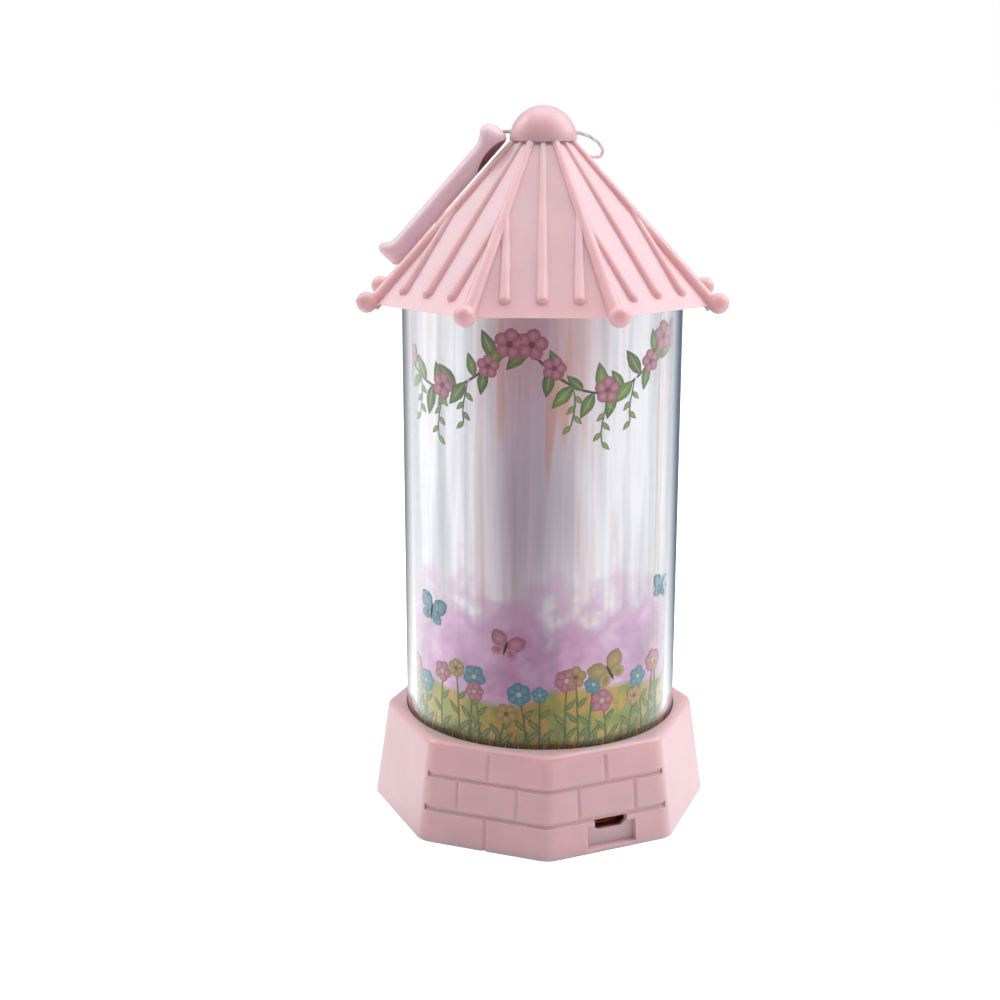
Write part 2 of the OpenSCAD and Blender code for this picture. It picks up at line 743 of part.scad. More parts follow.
// Solid through rings of equally many points, closed by flat ends
module ring_solid(rings) {
    sides = len(rings[0]);
    last = len(rings) - 1;
    skin = [for (i = [0 : last - 1], k = [0 : sides - 1]) let (n = (k + 1) % sides)
        each [[i * sides + k, (i + 1) * sides + k, i * sides + n],
              [i * sides + n, (i + 1) * sides + k, (i + 1) * sides + n]]];
    ends = [[for (k = [0 : sides - 1]) k], [for (k = [sides - 1 : -1 : 0]) last * sides + k]];
    polyhedron([for (ring = rings) each ring], concat(skin, ends));
}

// Round tube swept along a smooth curve through the route's points
module swept_tube(route, diameter, steps = 2, sides = 8) {
    path = smooth_route(route, steps);
    frames = side_list(path);
    ring_solid([for (i = [0 : len(path) - 1]) [for (k = [0 : sides - 1]) let (turn = 360 * k / sides)
        path[i] + diameter / 2 * (cos(turn) * frames[i][0] + sin(turn) * frames[i][1])]]);
}

module hanging_cord() {
    color(CORD_PALE) swept_tube(cord_route, cord_d, cord_steps);
}

roof_shell();
finial();
finial_screw();
tube_cap();
cap_screws();
hand_grip();
cord_knots();
hanging_cord();
clear_tube();
picture_film();
lamp_deck();
lamp_leds();
deck_pins();
base_housing();
circuit_board();
board_parts();
board_screws();
usb_shell();
usb_tongue();
switch_case();
switch_slider();
battery_cell();
battery_lead_red();
battery_lead_black();
bottom_cover();
cover_screws();
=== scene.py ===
"""Looks of a tabletop flame lantern: pink pagoda roof, printed tube and brick-moulded base."""

import math

import bpy
from mathutils import Euler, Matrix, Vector
from mathutils.kdtree import KDTree


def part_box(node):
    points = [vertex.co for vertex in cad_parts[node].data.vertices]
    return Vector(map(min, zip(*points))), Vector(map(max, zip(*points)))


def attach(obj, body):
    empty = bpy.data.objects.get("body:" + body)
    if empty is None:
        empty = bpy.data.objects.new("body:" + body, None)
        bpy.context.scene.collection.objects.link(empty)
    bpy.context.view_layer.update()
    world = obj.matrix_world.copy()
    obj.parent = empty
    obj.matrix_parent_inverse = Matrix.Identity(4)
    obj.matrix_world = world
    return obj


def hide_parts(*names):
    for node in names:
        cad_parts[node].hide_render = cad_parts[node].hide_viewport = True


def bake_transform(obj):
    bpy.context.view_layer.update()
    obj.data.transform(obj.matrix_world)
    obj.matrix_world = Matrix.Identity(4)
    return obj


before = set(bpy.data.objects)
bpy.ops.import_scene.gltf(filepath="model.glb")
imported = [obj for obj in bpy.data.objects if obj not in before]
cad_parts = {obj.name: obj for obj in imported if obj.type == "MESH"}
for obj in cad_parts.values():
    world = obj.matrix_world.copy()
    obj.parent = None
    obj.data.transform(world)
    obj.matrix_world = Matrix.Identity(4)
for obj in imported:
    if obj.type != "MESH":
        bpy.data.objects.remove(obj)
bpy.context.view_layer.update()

bl_info = {
    "name": "Flame Lantern",
    "version": (1, 0, 0),
    "blender": (4, 5, 0),
    "location": "View3D > Sidebar > Lantern",
    "description": "Dresses the lantern's solids: materials, printed design, cord and stage",
    "category": "Object",
}

MM = 0.001
FILM_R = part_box("picture_film")[1][0]
RIM_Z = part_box("base_housing")[1][2]
EAVE_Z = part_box("clear_tube")[1][2] - 1.5 * MM
# Prints lie in the gap between the film and the tube, in thin layers over each other
PRINT_R = FILM_R + 0.02 * MM
LAYER = 0.012 * MM

# Turn from the front to the lap of the film's two edges
SEAM_TURN = math.radians(58)
# Straight parts that a swag of the garland and a flower's stalk are drawn with
SWAG_STEPS = 16
STALK_STEPS = 5

CORD_DIAMETER = 0.9 * MM
# Points of the smooth curve from one place of the route to the next
CORD_STEPS = 6
# One full turn of the two strands
CORD_LAY = 2.4 * MM
# Any direction that the cord doesn't run along
CORD_ASIDE = Vector((0.3, 0.9, 0.3))
# The source's route: from the grip's upper end through the finial, out on the right
# and round the back of the roof to the grip's lower end
CORD_ROUTE_MM = [
    (-10.1, 0, 152.9), (-9, 0, 154.1), (-8, 0, 154.5), (-6.6, 0, 154.3), (-5, 0, 154.2),
    (0, 0, 154.2), (5, 0, 154.2), (7, 0, 154.2), (8.8, 0.2, 153.9), (10.6, 0.8, 153.1),
    (12.3, 1.6, 151.8), (13.1, 2.8, 150.3), (12.8, 4.4, 149.1), (11.6, 6.6, 148.8),
    (8.6, 10.2, 148.8), (3, 13.6, 147.9), (-4, 15.6, 145.6), (-12, 16, 141.6), (-19, 14, 137.8),
    (-25, 11, 134), (-28, 8.2, 131.6), (-29.6, 5.5, 129.6), (-30.2, 3.2, 128.7),
    (-30.5, 1.2, 129.1), (-29.7, 0, 130.9), (-28.6, 0, 132.2),
]

SENSOR_WIDTH = 36.0
FLOOR_SIZE = 12.0
# Toward the light tent's dim side: in front and a little to the left
TENT_DIM_SIDE = (-0.3, -0.95, 0.0)
LAMP_AIM = Vector((0.0, 0.0, 0.09))
LAMP_COLOUR = "#F4FAFF"


def linear(hex_colour):
    """sRGB hex value as a linear colour with alpha."""
    values = [int(hex_colour[i:i + 2], 16) / 255 for i in (1, 3, 5)]
    return (*[v / 12.92 if v <= 0.04045 else ((v + 0.055) / 1.055) ** 2.4 for v in values], 1.0)


def toned(colour, factor):
    """Linear colour made darker or lighter by a factor."""
    return (*[min(1.0, v * factor) for v in colour[:3]], 1.0)


def add_node(tree, kind, settings=None, stops=(), **inputs):
    """Adds a node with its settings and ramp stops, and fills inputs by name or by i and index."""
    node = tree.nodes.new(kind)
    for key, value in (settings or {}).items():
        setattr(node, key, value)
    for k, (position, colour) in enumerate(stops):
        element = node.color_ramp.elements[k] if k < 2 else node.color_ramp.elements.new(position)
        element.position = position
        element.color = linear(colour) if isinstance(colour, str) else colour
    for key, value in inputs.items():
        by_index = key[0] == "i" and key[1:].isdigit()
        socket = node.inputs[int(key[1:])] if by_index else node.inputs[key.replace("_", " ")]
        if isinstance(value, bpy.types.NodeSocket):
            tree.links.new(value, socket)
        else:
            socket.default_value = value
    return node


def new_material(name):
    """Empty node material, its tree and its output."""
    material = bpy.data.materials.new(name)
    material.use_nodes = True
    material.node_tree.nodes.clear()
    output = material.node_tree.nodes.new("ShaderNodeOutputMaterial")
    return material, material.node_tree, output


def turn_from_front(tree):
    """Height of a point of the object, and its turn about the upright axis from the front."""
    place = add_node(tree, "ShaderNodeTexCoord").outputs["Object"]
    split = add_node(tree, "ShaderNodeSeparateXYZ", Vector=place)
    front = add_node(tree, "ShaderNodeMath", {"operation": "MULTIPLY"}, i0=split.outputs["Y"],
                     i1=-1.0)
    turn = add_node(tree, "ShaderNodeMath", {"operation": "ARCTAN2"}, i0=split.outputs["X"],
                    i1=front.outputs[0])
    return split.outputs["Z"], turn.outputs[0]


def moulded_plastic(name, colour, roughness, soft_edge, bleed):
    """Injection-moulded ABS: satin, with faint grain, soft edges and a warm bleed of light."""
    material, tree, output = new_material(name)
    place = add_node(tree, "ShaderNodeTexCoord").outputs["Object"]
    cloud = add_node(tree, "ShaderNodeTexNoise", Vector=place, Scale=1 / (9 * MM), Detail=3.0)
    grain = add_node(tree, "ShaderNodeTexNoise", Vector=place, Scale=1 / (0.35 * MM), Detail=2.0)
    tint = add_node(tree, "ShaderNodeValToRGB", Fac=cloud.outputs["Fac"],
                    stops=[(0.3, toned(colour, 0.93)), (0.7, colour)])
    gloss = add_node(tree, "ShaderNodeMapRange", Value=cloud.outputs["Fac"],
                     To_Min=roughness - 0.05, To_Max=roughness + 0.06)
    edge = add_node(tree, "ShaderNodeBevel", {"samples": 8}, Radius=soft_edge)
    bump = add_node(tree, "ShaderNodeBump", Strength=0.12, Distance=0.03 * MM,
                    Height=grain.outputs["Fac"], Normal=edge.outputs["Normal"])
    shader = add_node(tree, "ShaderNodeBsdfPrincipled", Base_Color=tint.outputs["Color"],
                      Roughness=gloss.outputs["Result"], IOR=1.5, Normal=bump.outputs["Normal"],
                      Coat_Weight=0.5, Coat_Roughness=0.25, Subsurface_Weight=0.8,
                      Subsurface_Radius=(1.0, 0.34, 0.2), Subsurface_Scale=bleed)
    tree.links.new(shader.outputs[0], output.inputs["Surface"])
    return material


def clear_acrylic(name):
    """Extruded clear acrylic: polished, with faint draw lines along the tube."""
    material, tree, output = new_material(name)
    place = add_node(tree, "ShaderNodeTexCoord").outputs["Object"]
    drawn = add_node(tree, "ShaderNodeMapping", Vector=place, Scale=(1.0, 1.0, 0.02))
    lines = add_node(tree, "ShaderNodeTexNoise", Vector=drawn.outputs[0], Scale=1 / (2.5 * MM),
                     Detail=1.0)
    bump = add_node(tree, "ShaderNodeBump", Strength=0.05, Distance=0.02 * MM,
                    Height=lines.outputs["Fac"])
    glass = add_node(tree, "ShaderNodeBsdfPrincipled", Base_Color=linear("#F6F8FB"), Roughness=0.02,
                     IOR=1.49, Normal=bump.outputs["Normal"], Transmission_Weight=1.0)
    # Lamps reach the film through the wall
    path = add_node(tree, "ShaderNodeLightPath")
    clear = add_node(tree, "ShaderNodeBsdfTransparent", Color=linear("#F4F6FA"))
    wall = add_node(tree, "ShaderNodeMixShader", i0=path.outputs["Is Shadow Ray"],
                    i1=glass.outputs[0], i2=clear.outputs[0])
    tree.links.new(wall.outputs[0], output.inputs["Surface"])
    return material


def small_fitting(name, colour, roughness, metallic=0.0):
    """Bought-in fittings: plated, moulded or lacquered, with handling marks and a fine grain."""
    material, tree, output = new_material(name)
    place = add_node(tree, "ShaderNodeTexCoord").outputs["Object"]
    wear = add_node(tree, "ShaderNodeTexNoise", Vector=place, Scale=1 / (3 * MM), Detail=4.0)
    grain = add_node(tree, "ShaderNodeTexNoise", Vector=place, Scale=1 / (0.6 * MM), Detail=2.0)
    tint = add_node(tree, "ShaderNodeValToRGB", Fac=wear.outputs["Fac"],
                    stops=[(0.35, toned(linear(colour), 0.72)), (0.65, colour)])
    gloss = add_node(tree, "ShaderNodeMapRange", Value=wear.outputs["Fac"],
                     To_Min=roughness + 0.08, To_Max=roughness - 0.04)
    bump = add_node(tree, "ShaderNodeBump", Strength=0.15, Distance=0.03 * MM,
                    Height=grain.outputs["Fac"])
    shader = add_node(tree, "ShaderNodeBsdfPrincipled", Base_Color=tint.outputs["Color"],
                      Roughness=gloss.outputs["Result"], Metallic=metallic,
                      Normal=bump.outputs["Normal"])
    tree.links.new(shader.outputs[0], output.inputs["Surface"])
    return material


def printed_film(name, colours):
    """Silvered film: streaks, ovals of painted shade, a printed mauve wash and meadow at the foot.
    """
    material, tree, output = new_material(name)
    height, turn = turn_from_front(tree)
    around = add_node(tree, "ShaderNodeMath", {"operation": "MULTIPLY"}, i0=turn, i1=FILM_R)
    sheet = add_node(tree, "ShaderNodeCombineXYZ", X=around.outputs[0], Z=height)

    # Upright streaks of the silvered film: fine across, long along the tube
    silver = tuple(colours.silver)
    drawn = add_node(tree, "ShaderNodeMapping", Vector=sheet.outputs[0], Scale=(1.0, 1.0, 0.05))
    streak = add_node(tree, "ShaderNodeTexNoise", Vector=drawn.outputs[0], Scale=1 / (5 * MM),
                      Detail=3.0)
    streaks = add_node(tree, "ShaderNodeValToRGB", Fac=streak.outputs["Fac"], stops=[
        (0.25, toned(silver, 0.52)), (0.42, toned(silver, 0.78)), (0.55, silver), (0.66, "#EADCDA"),
        (0.8, toned(silver, 1.04))])

    # Painted shade: soft upright ovals of darker lavender, a quarter turn apart
    fold = add_node(tree, "ShaderNodeMath", {"operation": "PINGPONG"}, i0=around.outputs[0],
                    i1=math.pi * FILM_R / 4)
    oval_x = add_node(tree, "ShaderNodeMath", {"operation": "DIVIDE"}, i0=fold.outputs[0],
                      i1=15 * MM)
    rise = add_node(tree, "ShaderNodeMath", {"operation": "SUBTRACT"}, i0=height,
                    i1=RIM_Z + 58 * MM)
    oval_z = add_node(tree, "ShaderNodeMath", {"operation": "DIVIDE"}, i0=rise.outputs[0],
                      i1=34 * MM)
    oval = add_node(tree, "ShaderNodeCombineXYZ", X=oval_x.outputs[0], Y=oval_z.outputs[0])
    reach = add_node(tree, "ShaderNodeVectorMath", {"operation": "LENGTH"}, i0=oval.outputs[0])
    painted_shade = add_node(tree, "ShaderNodeMapRange", {"interpolation_type": "SMOOTHSTEP"},
                    Value=reach.outputs["Value"], From_Min=0.15, From_Max=1.0, To_Min=0.5,
                    To_Max=0.0)
    film_with_painted_shade = add_node(tree, "ShaderNodeMix", {"data_type": "RGBA"}, i0=painted_shade.outputs[0],
                     i6=streaks.outputs["Color"], i7=linear("#A898A2"))

    # Rosy tone under the roof and thin warm streaks, both strongest in the ovals
    near = add_node(tree, "ShaderNodeMapRange", {"interpolation_type": "SMOOTHSTEP"},
                    Value=fold.outputs[0],
                    From_Min=5 * MM, From_Max=17 * MM, To_Min=1.0, To_Max=0.0)
    high = add_node(tree, "ShaderNodeMapRange", {"interpolation_type": "SMOOTHSTEP"}, Value=height,
                    From_Min=EAVE_Z - 36 * MM, From_Max=EAVE_Z - 6 * MM, To_Max=0.75)
    rose = add_node(tree, "ShaderNodeMath", {"operation": "MULTIPLY"}, i0=near.outputs[0],
                    i1=high.outputs[0])
    rosy = add_node(tree, "ShaderNodeMix", {"data_type": "RGBA"}, i0=rose.outputs[0],
                    i6=film_with_painted_shade.outputs[2], i7=linear("#D3A6AA"))
    thin = add_node(tree, "ShaderNodeMapping", Vector=sheet.outputs[0], Scale=(1.0, 1.0, 0.06))
    flare = add_node(tree, "ShaderNodeTexNoise", Vector=thin.outputs[0], Scale=1 / (2.4 * MM),
                     Detail=0.0)
    spark = add_node(tree, "ShaderNodeMapRange", {"interpolation_type": "SMOOTHSTEP"},
                     Value=flare.outputs["Fac"], From_Min=0.6, From_Max=0.72, To_Max=0.8)
    warm = add_node(tree, "ShaderNodeMath", {"operation": "MULTIPLY"}, i0=near.outputs[0],
                    i1=spark.outputs[0])
    streaked = add_node(tree, "ShaderNodeMix", {"data_type": "RGBA"}, i0=warm.outputs[0],
                        i6=rosy.outputs[2], i7=linear("#D9A58F"))

    # Mauve wash above the meadow, its top broken up by clouds
    wash = tuple(colours.wash)
    cloud = add_node(tree, "ShaderNodeTexNoise", Vector=sheet.outputs[0], Scale=1 / (7 * MM),
                     Detail=4.0)
    cloud_top = add_node(tree, "ShaderNodeMath", {"operation": "MULTIPLY_ADD"},
                         i0=cloud.outputs["Fac"], i1=-44 * MM, i2=height)
    washing = add_node(tree, "ShaderNodeMapRange", {"interpolation_type": "SMOOTHSTEP"},
                       Value=cloud_top.outputs[0], From_Min=RIM_Z + 17 * MM,
                       From_Max=RIM_Z + 3 * MM, To_Max=0.9)
    wash_tint = add_node(tree, "ShaderNodeValToRGB", Fac=cloud.outputs["Fac"],
                         stops=[(0.3, toned(wash, 0.62)), (0.5, wash), (0.75, "#E2C6D8")])
    washed = add_node(tree, "ShaderNodeMix", {"data_type": "RGBA"}, i0=washing.outputs[0],
                      i6=streaked.outputs[2], i7=wash_tint.outputs["Color"])

    # Meadow with a rolling top edge, patches of green and ochre
    meadow = tuple(colours.meadow)
    roll = add_node(tree, "ShaderNodeTexNoise", {"noise_dimensions": "1D"}, W=around.outputs[0],
                    Scale=1 / (26 * MM), Detail=1.0)
    hill = add_node(tree, "ShaderNodeMath", {"operation": "MULTIPLY_ADD"}, i0=roll.outputs["Fac"],
                    i1=-12 * MM, i2=height)
    growing = add_node(tree, "ShaderNodeMapRange", {"interpolation_type": "SMOOTHSTEP"},
                       Value=hill.outputs[0],
                       From_Min=RIM_Z + 6.5 * MM, From_Max=RIM_Z + 4.5 * MM, To_Max=0.95)
    patch = add_node(tree, "ShaderNodeTexNoise", Vector=sheet.outputs[0], Scale=1 / (6 * MM),
                     Detail=3.0)
    meadow_tint = add_node(tree, "ShaderNodeValToRGB", Fac=patch.outputs["Fac"], stops=[
        (0.3, toned(meadow, 0.6)), (0.45, meadow), (0.55, "#C0920E"), (0.7, toned(meadow, 1.2))])
    grown = add_node(tree, "ShaderNodeMix", {"data_type": "RGBA"}, i0=growing.outputs[0],
                     i6=washed.outputs[2], i7=meadow_tint.outputs["Color"])

    # Seam where the sheet's two edges lap, right of the front
    off_seam = add_node(tree, "ShaderNodeMath", {"operation": "SUBTRACT"}, i0=around.outputs[0],
                        i1=SEAM_TURN * FILM_R)
    from_seam = add_node(tree, "ShaderNodeMath", {"operation": "ABSOLUTE"}, i0=off_seam.outputs[0])
    lap = add_node(tree, "ShaderNodeMapRange", Value=from_seam.outputs[0], From_Max=1.6 * MM)
    seam = add_node(tree, "ShaderNodeValToRGB", Fac=lap.outputs[0], stops=[
        (0.0, "#F6EFE6"), (0.55, "#F0E2D2"), (0.62, "#8F7F78"), (0.72, "#FFFFFF")])
    lapped = add_node(tree, "ShaderNodeMix", {"data_type": "RGBA", "blend_type": "MULTIPLY"},
                      i0=0.8, i6=grown.outputs[2], i7=seam.outputs["Color"])

    ripple = add_node(tree, "ShaderNodeBump", Strength=0.35, Distance=0.25 * MM,
                      Height=streak.outputs["Fac"])
    shader = add_node(tree, "ShaderNodeBsdfPrincipled", Base_Color=lapped.outputs[2], Metallic=0.8,
                      Roughness=0.24, Normal=ripple.outputs[0])
    tree.links.new(shader.outputs[0], output.inputs["Surface"])
    return material


def printed_ink(name):
    """Screen ink on the film: each motif's own colours, a little uneven where the ink was thin."""
    material, tree, output = new_material(name)
    colour = add_node(tree, "ShaderNodeAttribute", {"attribute_name": "ink"})
    place = add_node(tree, "ShaderNodeTexCoord").outputs["Object"]
    uneven = add_node(tree, "ShaderNodeTexNoise", Vector=place, Scale=1 / (0.8 * MM), Detail=3.0)
    cover = add_node(tree, "ShaderNodeMapRange", Value=uneven.outputs["Fac"], To_Min=0.82,
                     To_Max=1.12)
    tint = add_node(tree, "ShaderNodeMix", {"data_type": "RGBA", "blend_type": "MULTIPLY"}, i0=1.0,
                    i6=colour.outputs["Color"], i7=cover.outputs[0])
    gloss = add_node(tree, "ShaderNodeMapRange", Value=uneven.outputs["Fac"], To_Min=0.42,
                     To_Max=0.58)
    shader = add_node(tree, "ShaderNodeBsdfPrincipled", Base_Color=tint.outputs[2],
                      Roughness=gloss.outputs["Result"], Specular_IOR_Level=0.15)
    tree.links.new(shader.outputs[0], output.inputs["Surface"])
    return material


def twisted_cord(name, colour):
    """Thin cord of two laid polyester strands: slanting bands, with painted shade in the grooves.
    """
    material, tree, output = new_material(name)
    lay = add_node(tree, "ShaderNodeAttribute", {"attribute_name": "lay"})
    split = add_node(tree, "ShaderNodeSeparateXYZ", Vector=lay.outputs["Vector"])
    phase = add_node(tree, "ShaderNodeMath", {"operation": "MULTIPLY"}, i0=split.outputs["Z"],
                     i1=2 * math.pi / CORD_LAY)
    wave_a = add_node(tree, "ShaderNodeMath", {"operation": "COSINE"}, i0=phase.outputs[0])
    wave_b = add_node(tree, "ShaderNodeMath", {"operation": "SINE"}, i0=phase.outputs[0])
    part_a = add_node(tree, "ShaderNodeMath", {"operation": "MULTIPLY"}, i0=split.outputs["X"],
                      i1=wave_a.outputs[0])
    band = add_node(tree, "ShaderNodeMath", {"operation": "MULTIPLY_ADD"}, i0=split.outputs["Y"],
                    i1=wave_b.outputs[0], i2=part_a.outputs[0])
    crown_relief_and_shade = add_node(tree, "ShaderNodeMapRange", Value=band.outputs[0], From_Min=-1.0, From_Max=1.0)
    # Painted shade: the grooves between the strands are darker than the crowns
    tint = add_node(tree, "ShaderNodeValToRGB", Fac=crown_relief_and_shade.outputs[0],
                    stops=[(0.15, toned(colour, 0.76)), (0.6, colour)])
    bump = add_node(tree, "ShaderNodeBump", Strength=0.5, Distance=0.08 * MM,
                    Height=crown_relief_and_shade.outputs[0])
    shader = add_node(tree, "ShaderNodeBsdfPrincipled", Base_Color=tint.outputs["Color"],
                      Roughness=0.55, Sheen_Weight=0.3, Normal=bump.outputs[0])
    tree.links.new(shader.outputs[0], output.inputs["Surface"])
    return material


def dress(material, *nodes):
    """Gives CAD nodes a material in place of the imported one."""
    for name in nodes:
        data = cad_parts[name].data
        data.materials.clear()
        data.materials.append(material)


def on_tube(across, height, layer):
    """Point of the print: metres round the film from the front, height, and layer over the film."""
    radius = PRINT_R + layer * LAYER
    return (radius * math.sin(across / FILM_R), -radius * math.cos(across / FILM_R), height)


# Inks of a drawn shape, by zone: 0 the middle, 1 the edge, 2 a vein, heart or body
def flat_leaf(width=1.0, length=1.0, foot=0.0, turn=0.0, lift=0.0, swell=0.8, blunt=1.0,
              zones=(0, 1)):
    """Flat leaf or petal drawn up from its foot, with an ink zone for its middle and its edge."""
    bpy.ops.object.select_all(action="DESELECT")
    bpy.ops.mesh.primitive_circle_add(vertices=12, radius=1.0, fill_type="TRIFAN")
    leaf = bpy.context.view_layer.objects.active
    marks = leaf.data.attributes.new("zone", "INT", "POINT")
    for vertex in leaf.data.vertices:
        on_edge = vertex.co.length > 0.5
        marks.data[vertex.index].value = zones[1] if on_edge else zones[0]
        rise = min(max((vertex.co.y + 1) / 2, 0.0), 1.0)
        half = width / 2 * max(math.sin(math.pi * rise ** swell), 0.0) ** blunt
        vertex.co = (math.copysign(half, vertex.co.x) if abs(vertex.co.x) > 1e-5 else 0.0,
                     foot + length * rise, lift)
    bpy.ops.transform.rotate(value=turn, orient_axis="Z", center_override=(0.0, 0.0, 0.0))
    bpy.ops.object.transform_apply(location=True, rotation=True, scale=True)
    return leaf


def drawn_shape(pieces):
    """Joins the pieces of one printed shape and takes its points, faces and zones for copying."""
    bpy.ops.object.select_all(action="DESELECT")
    for piece in pieces:
        piece.select_set(True)
    bpy.context.view_layer.objects.active = pieces[0]
    bpy.ops.object.join()
    mesh = pieces[0].data
    shape = ([vertex.co.copy() for vertex in mesh.vertices],
             [tuple(face.vertices) for face in mesh.polygons],
             [mark.value for mark in mesh.attributes["zone"].data])
    bpy.ops.object.delete()
    bpy.data.meshes.remove(mesh)
    return shape


def veined_leaf():
    """Pointed leaf with a pale vein."""
    return drawn_shape([flat_leaf(), flat_leaf(width=0.09, length=0.86, lift=0.4, zones=(2, 2))])


def open_blossom(petals):
    """Open blossom of round petals that overlap in turn, with a round heart."""
    ring = [flat_leaf(width=0.9, length=0.95, foot=0.06, turn=2 * math.pi * k / petals,
                      lift=0.35 * (k % 2), swell=1.35, blunt=0.6) for k in range(petals)]
    heart = flat_leaf(width=0.44, length=0.44, foot=-0.22, lift=0.8, swell=1.0, blunt=0.55,
                      zones=(2, 2))
    return drawn_shape(ring + [heart])


def open_butterfly():
    """Butterfly seen from above: two large and two small wings, with a slim body."""
    pieces = []
    for side in (1, -1):
        pieces.append(flat_leaf(width=0.72, turn=0.85 * side, swell=1.2, blunt=0.8))
        pieces.append(flat_leaf(width=0.5, length=0.68, turn=2.05 * side, lift=0.2, swell=1.2,
                                blunt=0.8, zones=(1, 0)))
    pieces.append(flat_leaf(width=0.13, length=0.7, foot=-0.34, lift=0.6, swell=1.0, blunt=0.7,
                            zones=(2, 2)))
    return drawn_shape(pieces)


class PrintedSheet:
    """Printed shapes on a flat sheet, each point with its ink, then rolled round the film."""

    def __init__(self):
        self.points, self.faces, self.inks = [], [], []

    def stamp(self, shape, across, height, turn, width, length, inks, layer):
        """Copy of a drawn shape, its foot at a place on the sheet, turned clockwise from up."""
        points, faces, zones = shape
        start = len(self.points)
        c, s = math.cos(turn), math.sin(turn)
        for point, zone in zip(points, zones):
            x, y = point.x * width, point.y * length
            self.points.append(on_tube(across + x * c + y * s, height - x * s + y * c,
                                       layer + point.z))
            self.inks.append(inks[zone])
        self.faces += [tuple(start + i for i in face) for face in faces]

    def stroke(self, line, widths, ink, layer):
        """Ribbon of ink along a line of (across, height) points, with a width at each."""
        start = len(self.points)
        for k, (across, height) in enumerate(line):
            before, after = line[max(k - 1, 0)], line[min(k + 1, len(line) - 1)]
            along = Vector((after[0] - before[0], after[1] - before[1])).normalized()
            side = Vector((-along.y, along.x)) * widths[k] / 2
            for sign in (1, -1):
                self.points.append(on_tube(across + sign * side.x, height + sign * side.y, layer))
                self.inks.append(ink)
        for k in range(len(line) - 1):
            a = start + 2 * k
            self.faces.append((a, a + 1, a + 3, a + 2))

    def build(self, name):
        """Rolled piece of every shape, with its ink as an attribute, riding with the lantern."""
        mesh = bpy.data.meshes.new(name)
        mesh.from_pydata(self.points, [], self.faces)
        for face in mesh.polygons:
            if face.normal.dot((face.center.x, face.center.y, 0.0)) < 0:
                face.flip()
        mesh.update()
        layer = mesh.attributes.new("ink", "FLOAT_COLOR", "POINT")
        layer.data.foreach_set("color", [value for ink in self.inks for value in ink])
        mesh.materials.append(bpy.data.materials.get("screen_ink") or printed_ink("screen_ink"))
        piece = bpy.data.objects.new(name, mesh)
        bpy.context.collection.objects.link(piece)
        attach(piece, "lantern")


def colour_choice(name, description, hex_colour):
    """Colour property with an sRGB default."""
    return bpy.props.FloatVectorProperty(name=name, description=description, size=4,
                                         subtype="COLOR",
                                         min=0.0, max=1.0, default=linear(hex_colour))


class LanternView(bpy.types.PropertyGroup):
    lens: bpy.props.FloatProperty(name="Lens", description="Focal length in mm on a 36 mm sensor",
                                  default=57.66)
    distance: bpy.props.FloatProperty(name="Distance",
                                      description="Camera distance in front of the axis",
                                      default=0.3587, unit="LENGTH")
    height: bpy.props.FloatProperty(name="Height", description="Camera height", default=0.1619,
                                    unit="LENGTH")
    pitch: bpy.props.FloatProperty(name="Pitch", description="Downward tilt",
                                   default=math.radians(14.153), subtype="ANGLE")
    pan: bpy.props.FloatProperty(name="Pan", description="Turn to the left",
                                 default=math.radians(1.509), subtype="ANGLE")


class LanternColours(bpy.types.PropertyGroup):
    plastic: colour_choice("Plastic", "Roof, finial, base and cover", "#EFC1C6")
    # Paler than the plastic: painted light for the grip's dimly lit front
    grip: colour_choice("Grip", "Hand grip on the roof", "#FFD9E2")
    cord: colour_choice("Cord", "Hanging cord and its knots", "#F8EEF1")
    silver: colour_choice("Film", "Bare silvered film", "#F4F1F1")
    wash: colour_choice("Wash", "Mauve wash on the film", "#C994B9")
    meadow: colour_choice("Meadow", "Ground of the printed meadow", "#86950C")
    leaf: colour_choice("Leaf", "Middle of the garland's leaves", "#A6C64C")
    leaf_edge: colour_choice("Leaf edge", "Edge of the garland's leaves", "#4F8A1F")
    blossom: colour_choice("Blossom", "Middle of the garland's petals", "#F9BECB")
    blossom_edge: colour_choice("Blossom edge", "Edge of the garland's petals", "#E0597F")
    twig: colour_choice("Twig", "Garland twig", "#5B4234")


class LanternPrint(bpy.types.PropertyGroup):
    swags: bpy.props.IntProperty(name="Swags", description="Garland swags round the tube",
                                 default=5)
    sag: bpy.props.FloatProperty(name="Sag", description="Depth of a swag", default=13 * MM,
                                 unit="LENGTH")
    leaf_length: bpy.props.FloatProperty(name="Leaf length", description="Length of a garland leaf",
                                         default=6.2 * MM, unit="LENGTH")
    stalks: bpy.props.IntProperty(name="Stalks", description="Flower stalks round the meadow",
                                  default=46)
    blades: bpy.props.IntProperty(name="Blades", description="Blades of grass round the meadow",
                                  default=170)
    butterflies: bpy.props.IntProperty(name="Butterflies", description="Butterflies round the tube",
                                       default=9)
    wing_length: bpy.props.FloatProperty(name="Wing length",
                                         description="Length of a small butterfly's wing",
                                         default=4.2 * MM, unit="LENGTH")


class LanternLight(bpy.types.PropertyGroup):
    left: bpy.props.FloatProperty(name="Left softbox", description="Power of the left lamp",
                                  default=1.9, unit="POWER")
    right: bpy.props.FloatProperty(name="Right softbox", description="Power of the right lamp",
                                   default=3.4, unit="POWER")
    top: bpy.props.FloatProperty(name="Top softbox", description="Power of the lamp above",
                                 default=1.6, unit="POWER")


class LANTERN_OT_camera(bpy.types.Operator):
    """Camera at the photograph's viewpoint"""
    bl_idname = "lantern.camera"
    bl_label = "Camera"

    def execute(self, context):
        view = context.scene.lantern_view
        data = bpy.data.cameras.new("Camera")
        data.lens = view.lens
        data.sensor_width = SENSOR_WIDTH
        camera = bpy.data.objects.new("Camera", data)
        camera.location = (0.0, -view.distance, view.height)
        camera.rotation_euler = Euler((math.pi / 2 - view.pitch, 0.0, view.pan))
        context.collection.objects.link(camera)
        context.scene.camera = camera
        return {"FINISHED"}


